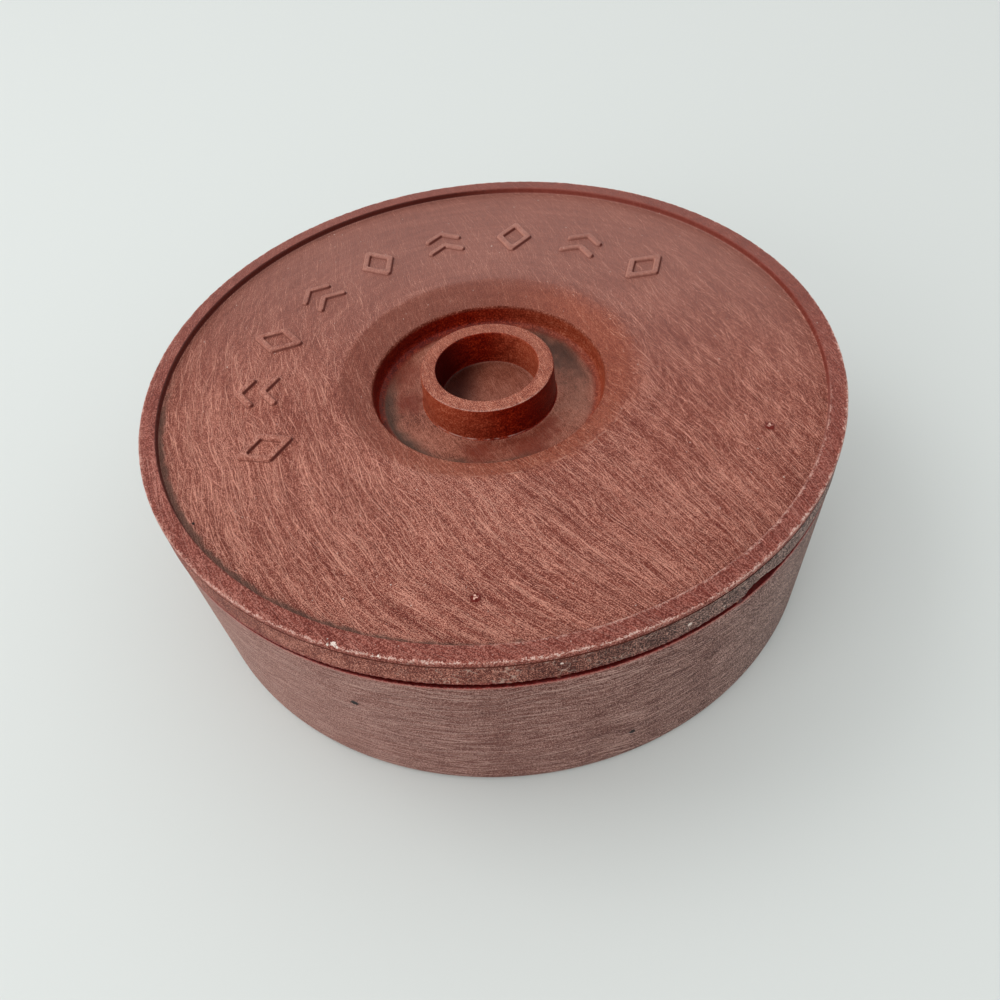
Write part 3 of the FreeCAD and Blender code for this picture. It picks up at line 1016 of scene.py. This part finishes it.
def skirt_material():
    """Band and skirt: short fibres that lie up and down or slantwise, the scuffed rim edge, painted light
    on the -X side, and painted shade at the lower edge.
    """
    m = Material("skirt", 0.6, 0.22)
    slant = m.total(m.z, m.uneven(9, 20))
    upright = m.drawn(((m.x, 0.6), (m.y, 0.6), (slant, 2.4)), 2, 0.6)
    share = m.total(
        0.39,
        m.swing(upright, 0.9),
        m.times(m.uneven(0.34, 3.9, 2, 0.6), m.side(-30, -10, 80, 1, 1.4)),
        m.times(m.uneven(0.7, 3, 2, 0.6), m.side(-30, 20, 90)),
        m.uneven(6, 0.9, 3, 0.6),
    )
    m.colour = m.ramp(share, SKIRT_SKIN)
    # painted light: the skirt is paler on its -X side, where light falls
    m.paint(m.side(-160, 55, 105, 0, 0.9), m.ramp(share, PANEL_SKIN))
    m.paint(m.side(-20, -10, 60, 0, 0.8), m.ramp(share, GREY_SKIN))
    band = m.rise(m.z, TOP - BAND_HEIGHT - 0.4, TOP - BAND_HEIGHT)
    m.paint(band, m.ramp(share, RIM_SKIN), 0.9)
    ragged = m.total(m.z, m.uneven(0.5, 4.5, 2, 0.7), m.uneven(4, 1.8))
    m.paint(m.rise(ragged, TOP - 0.9, TOP - 0.4), RUBBED, 0.6)
    m.paint(m.rise(ragged, TOP - 0.3, TOP + 0.1), SCUFF_AND_SHEEN, 0.9)
    chipped(m)
    curls = m.times(
        m.thread(m.grain(3.2, 1), 0.035),
        m.side(-108, 92, 104),
        m.rise(m.grain(5), 0.42, 0.6),
    )
    m.paint(curls, CURL, 0.55)
    # painted shade on the lower edge, over the joint's gap
    m.paint(m.rise(ragged, SKIRT_EDGE + 0.9, SKIRT_EDGE - 0.2), SKIRT_LIP_SHADE, 0.6)
    for degrees, drop, size in SKIRT_MARKS:
        m.paint(m.spot(degrees, SKIRT_RADIUS, TOP - drop, size), CHIPPED, 0.9)
    return m.finish(m.total(upright, share), 0.12)


def groove_material():
    """The groove under the band: near black for painted shade, and paler towards -X."""
    m = Material("groove", 0.7, 0.1)
    share = m.grain(0.8, 3, 0.7)
    # painted shade in the groove
    m.colour = m.ramp(share, GROOVE_SHADE_SKIN)
    m.paint(m.side(-155, 30, 100, 0, 0.85), GROOVE_PALER)
    return m.finish(share, 0.1)


def shoulder_material():
    """The ledge under the skirt: deep red, darkened as painted shade, with the spigot's own skin higher
    up.
    """
    m = Material("shoulder", 0.5, 0.08)
    share = m.grain(0.6, 3, 0.7)
    # painted shade: very dark red under the skirt
    m.colour = m.ramp(share, DEEP_SHADE_SKIN)
    nub = m.times(
        m.rise(m.z, SHOULDER + 0.25, SHOULDER + 0.6),
        m.rise(m.radius, SPIGOT_RADIUS + 0.5, NUB_RADII[0]),
    )
    m.paint(nub, NUB)
    spigot = m.times(
        m.rise(m.z, SHOULDER + 1.5, SHOULDER + 4),
        m.rise(m.radius, SPIGOT_RADIUS + 0.4, SPIGOT_RADIUS + 0.1),
    )
    m.paint(spigot, m.ramp(share, INSIDE_SKIN))
    return m.finish(share, 0.08)


PITS = ((-143.6, 39.5, 1.4), (-102.6, 14.75, 1.2))  # (azimuth, height, size) of pits in the wall
WALL_LAYER_STEP = 37  # how far apart the layers of its noise lie
WALL_HAIRS = (  # (tilt, length, noise level that they lie above)
    (0, 22, 0.62), (0.12, 18, 0.63), (-0.1, 18, 0.63), (0.35, 10, 0.66), (-0.3, 10, 0.67),
)


def wall_lines(m, height, width, length, layer, detail=2, roughness=0.55, tilt=0):
    """Noise drawn out round the wall. Layers differ."""
    level = m.scaled(m.scaled(m.x, tilt, height), 1 / width, WALL_LAYER_STEP * layer)
    return m.noise(m.join(m.ratio(m.x, length), m.ratio(m.y, length), level), detail, roughness)


def wall_material():
    """Fibres that run round the wall, more mixed up towards +X, with painted light on the left and painted
    shade under the skirt.
    """
    m = Material("wall", 0.6, 0.22)
    wobble = m.total(m.uneven(26, 8), m.uneven(8, 0.7))
    slope = m.times(m.x, m.rise(m.x, -10, 60, 0, 0.14))
    height = m.total(m.z, wobble, slope)
    fibre = m.total(*(
        m.rise(wall_lines(m, height, 0.37, length, layer, 0, 0.5, tilt), level, level + HAIR_EDGE)
        for layer, (tilt, length, level) in enumerate(WALL_HAIRS)
    ))
    brushed = wall_lines(m, height, 0.38, 7, 4, 2, 0.6)
    right = m.times(m.rise(m.x, -20, 50), m.rise(m.y, 60, -10, 0.3, 1))
    crossing = m.times(right, m.swing(wall_lines(m, height, 0.5, 4, 6, 2, 0.6, 0.5), 1))
    dots = m.grain(0.34, 2, 0.65)
    far = m.side(-28, 70, 100)
    fine = m.total(
        crossing,
        m.times(m.total(m.times(fibre, 0.36), m.swing(brushed, 1.4)), m.scaled(right, -0.8, 1)),
        m.times(m.swing(dots, 3), m.scaled(right, 0.6, 1)),
        m.times(m.uneven(0.8, 3, 2, 0.65), far),
    )
    # painted light: the wall is paler on its left, where light falls
    left = m.side(165, 20, 100)
    share = m.total(
        m.scaled(left, 0.13, 0.375),
        m.times(fine, m.scaled(left, 0.55, 1.25)),
        m.swing(wall_lines(m, height, 3.5, 30, 5), 0.25),
        m.uneven(20, 0.4, 3, 0.6),
    )
    m.colour = m.mix(m.times(right, 0.7), m.ramp(share, WALL_SKIN), m.ramp(share, GREY_SKIN))
    m.paint(far, WALL_SHADE, 0.4)
    m.paint(left, WALL_LIT_LEFT, 0.25)
    m.paint(m.side(-138, 80, 105, 0, 0.2), WALL_RED)
    lip = m.total(m.z, m.uneven(0.6, 1.9, 3, 0.8))
    gape = m.spot(GAPE_ANGLE, SHOULDER_RADIUS, SHOULDER - 0.5, 9, 0.1)
    lip = m.total(lip, m.times(gape, 0.8))
    # the top edge: rubbed pale with a painted highlight, then painted shade in the gap under the skirt
    m.paint(m.rise(lip, SHOULDER - 1.4, SHOULDER - 0.9, 0, 0.55), LIP_RUBBED_AND_LIT)
    m.paint(m.rise(lip, SHOULDER - 0.55, SHOULDER - 0.35), LIP_SHADE)
    deep_shade = m.ramp(m.grain(0.8, 3, 0.7), DEEP_SHADE_SKIN)
    m.paint(m.rise(lip, SHOULDER - 0.25, SHOULDER - 0.05), deep_shade)
    for degrees, z, size in PITS:
        radius = SHOULDER_RADIUS - OUTER_TAPER * (1 - z / SHOULDER)
        m.paint(m.spot(degrees, radius, z, size, 0.5), PIT)
    return m.finish(m.total(fibre, brushed, dots), 0.14)


def inside_material(name):
    """Surfaces that the object hides: smoother plastic with a few fibres."""
    m = Material(name, 0.42, 0.3)
    texture, height = upper_texture(m, 0.6, 0.6)
    level = m.math("ABSOLUTE", m.vector("DOT_PRODUCT", m.normal, (0, 0, 1)))
    level = m.rise(level, 0.3, 0.9)
    round_wall = m.swing(m.drawn(((m.x, 9), (m.y, 9), (m.z, 0.9)), 3, 0.65), 1)
    share = m.total(0.42, m.times(texture, level), m.times(round_wall, m.minus(1, level)))
    m.colour = m.ramp(share, INSIDE_SKIN)
    return m.finish(m.times(height, level), 0.08)


# ---- The two pieces ----

def make_lid():
    ring_inner = RING_RADIUS - RING_WALL
    recess_edge = PANEL_TOP - FLARE_DROP
    band_edge = TOP - BAND_HEIGHT
    boss = RECESS_RADIUS + PANEL_WALL
    corners = [
        (0, RECESS_FLOOR, 0, "recess_floor"),
        (ring_inner - RING_DRAFT, RECESS_FLOOR, RING_ROOT_ROUNDING, "recess"),
        (ring_inner, RING_TOP, RING_ROUNDING, "ring_top"),
        (RING_RADIUS, RING_TOP, RING_ROUNDING, "recess"),
        (RING_RADIUS + RING_DRAFT, RECESS_FLOOR, RING_ROOT_ROUNDING, "recess_floor"),
        (RECESS_RADIUS - RECESS_DRAFT, RECESS_FLOOR, RECESS_ROOT_ROUNDING, "recess"),
        (RECESS_RADIUS, recess_edge, RECESS_EDGE_ROUNDING, "panel"),
        (DISH_RADIUS, PANEL_TOP, FLARE_ROUNDING, "panel"),
        (RIM_INNER_RADIUS, PANEL_TOP, RIM_ROOT_ROUNDING, "rim"),
        (RIM_INNER_RADIUS, TOP, RIM_ROUNDING, "rim", FINE),
        (RIM_RADIUS, TOP, RIM_ROUNDING, "skirt", FINE),
        (RIM_RADIUS, band_edge, 0, "groove", FINE),
        (SKIRT_RADIUS - GROOVE_DEPTH, band_edge, 0, "groove"),
        (SKIRT_RADIUS - GROOVE_DEPTH, band_edge - GROOVE_HEIGHT, 0, "groove"),
        (SKIRT_RADIUS, band_edge - GROOVE_HEIGHT, 0, "skirt"),
        (SKIRT_RADIUS, SKIRT_EDGE, SKIRT_ROUNDING, "skirt", FINE),
        (SKIRT_RADIUS - SKIRT_WALL, SKIRT_EDGE, SKIRT_ROUNDING, "inside"),
        (SKIRT_RADIUS - SKIRT_WALL, SPIGOT_TOP, SKIRT_ROUNDING, "inside"),
        (DISH_RADIUS, SPIGOT_TOP, FLARE_ROUNDING, "inside"),
        (boss, SPIGOT_TOP - FLARE_DROP, RECESS_EDGE_ROUNDING, "inside"),
        (boss - RECESS_DRAFT, BOSS_UNDERSIDE, BOSS_ROUNDING, "inside"),
        (0, BOSS_UNDERSIDE, 0, "inside"),
    ]
    materials = {
        "panel": panel_material(),
        "relief": relief_material(),
        "pip": pip_material(),
        "recess": recess_material(),
        "recess_floor": recess_floor_material(),
        "ring_top": ring_top_material(),
        "rim": rim_material(),
        "skirt": skirt_material(),
        "groove": groove_material(),
        "inside": inside_material("lid_inside"),
    }
    lid = turned_object("lid_shell", corners, wear_lid, materials)
    join_relief(lid, materials)
    shade(lid)
    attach(lid, "lid")
    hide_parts("lid")


def make_base():
    mouth = SPIGOT_RADIUS - SPIGOT_WALL
    floor = UNDERSIDE_RECESS + FLOOR_WALL
    foot = SHOULDER_RADIUS - OUTER_TAPER
    rest_inner = foot - OUTER_CORNER - REST_WIDTH
    corners = [
        (0, floor, 0, "inside"),
        (mouth - INNER_TAPER, floor, INNER_CORNER, "inside"),
        (mouth, SPIGOT_TOP, SPIGOT_ROUNDING, "inside"),
        (SPIGOT_RADIUS, SPIGOT_TOP, SPIGOT_ROUNDING, "shoulder"),
        (SPIGOT_RADIUS, SHOULDER, SKIRT_ROUNDING, "shoulder"),
        (SHOULDER_RADIUS, SHOULDER, SHOULDER_ROUNDING, "wall", FINE),
        (foot, 0, OUTER_CORNER, "wall"),
        (rest_inner, 0, UNDERSIDE_ROUNDING, "inside"),
        (rest_inner, UNDERSIDE_RECESS, UNDERSIDE_ROUNDING, "inside"),
        (0, UNDERSIDE_RECESS, 0, "inside"),
    ]
    materials = {
        "inside": inside_material("base_inside"),
        "shoulder": shoulder_material(),
        "wall": wall_material(),
    }
    base = turned_object("base_shell", corners, wear_base, materials)
    shade(base)
    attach(base, "base")
    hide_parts("base")


# ---- Camera, light and floor ----

CAMERA_PLACE = Vector((-105.22, -193.0, 253.54)) * MM
CAMERA_AIM = Vector((-28.05, -50.37, 69.5)) * MM
CAMERA_ROLL = 6.635  # degrees
CAMERA_LENS = 32.63  # for a sensor 36 mm wide
FLOOR_HALF_WIDTH = 3.0  # metres, as are the lamps' places and sizes
FLOOR_COLOUR = (0.655, 0.69, 0.672)
SKY_STRENGTH = 0.91
LAMPS = {  # name: (place, width, power in watts)
    "key": ((-0.65, 0.75, 1.27), 0.8, 5.0),
    "side": ((-1.2, -0.25, 0.55), 0.8, 4.0),
}


def make_camera():
    lens = bpy.data.cameras.new("camera")
    lens.sensor_width = 36
    lens.lens = CAMERA_LENS
    camera = add("camera", lens)
    camera.location = CAMERA_PLACE
    camera.rotation_mode = "QUATERNION"
    look = (CAMERA_AIM - CAMERA_PLACE).to_track_quat("-Z", "Y")
    camera.rotation_quaternion = look @ Quaternion((0, 0, 1), -radians(CAMERA_ROLL))
    bpy.context.scene.camera = camera


def make_light():
    world = bpy.data.worlds.new("sky")
    world.use_nodes = True
    background = world.node_tree.nodes["Background"].inputs
    background["Color"].default_value = (1, 1, 1, 1)
    background["Strength"].default_value = SKY_STRENGTH
    bpy.context.scene.world = world
    for name, (place, width, power) in LAMPS.items():
        data = bpy.data.lights.new(name, "AREA")
        data.size = width
        data.energy = power
        lamp = add(name, data)
        lamp.location = place
        lamp.rotation_mode = "QUATERNION"
        lamp.rotation_quaternion = (-Vector(place)).to_track_quat("-Z", "Y")


def make_floor():
    half = FLOOR_HALF_WIDTH
    mesh = bpy.data.meshes.new("floor")
    mesh.from_pydata(
        [(-half, -half, 0), (half, -half, 0), (half, half, 0), (-half, half, 0)], [], [(0, 1, 2, 3)])
    m = Material("floor", 0.6, 0.3)
    mesh.materials.append(m.data)
    m.shader["Base Color"].default_value = (*FLOOR_COLOUR, 1)
    add("floor", mesh)


make_camera()
make_light()
make_floor()
make_lid()
make_base()
bpy.context.scene.view_settings.view_transform = "Standard"
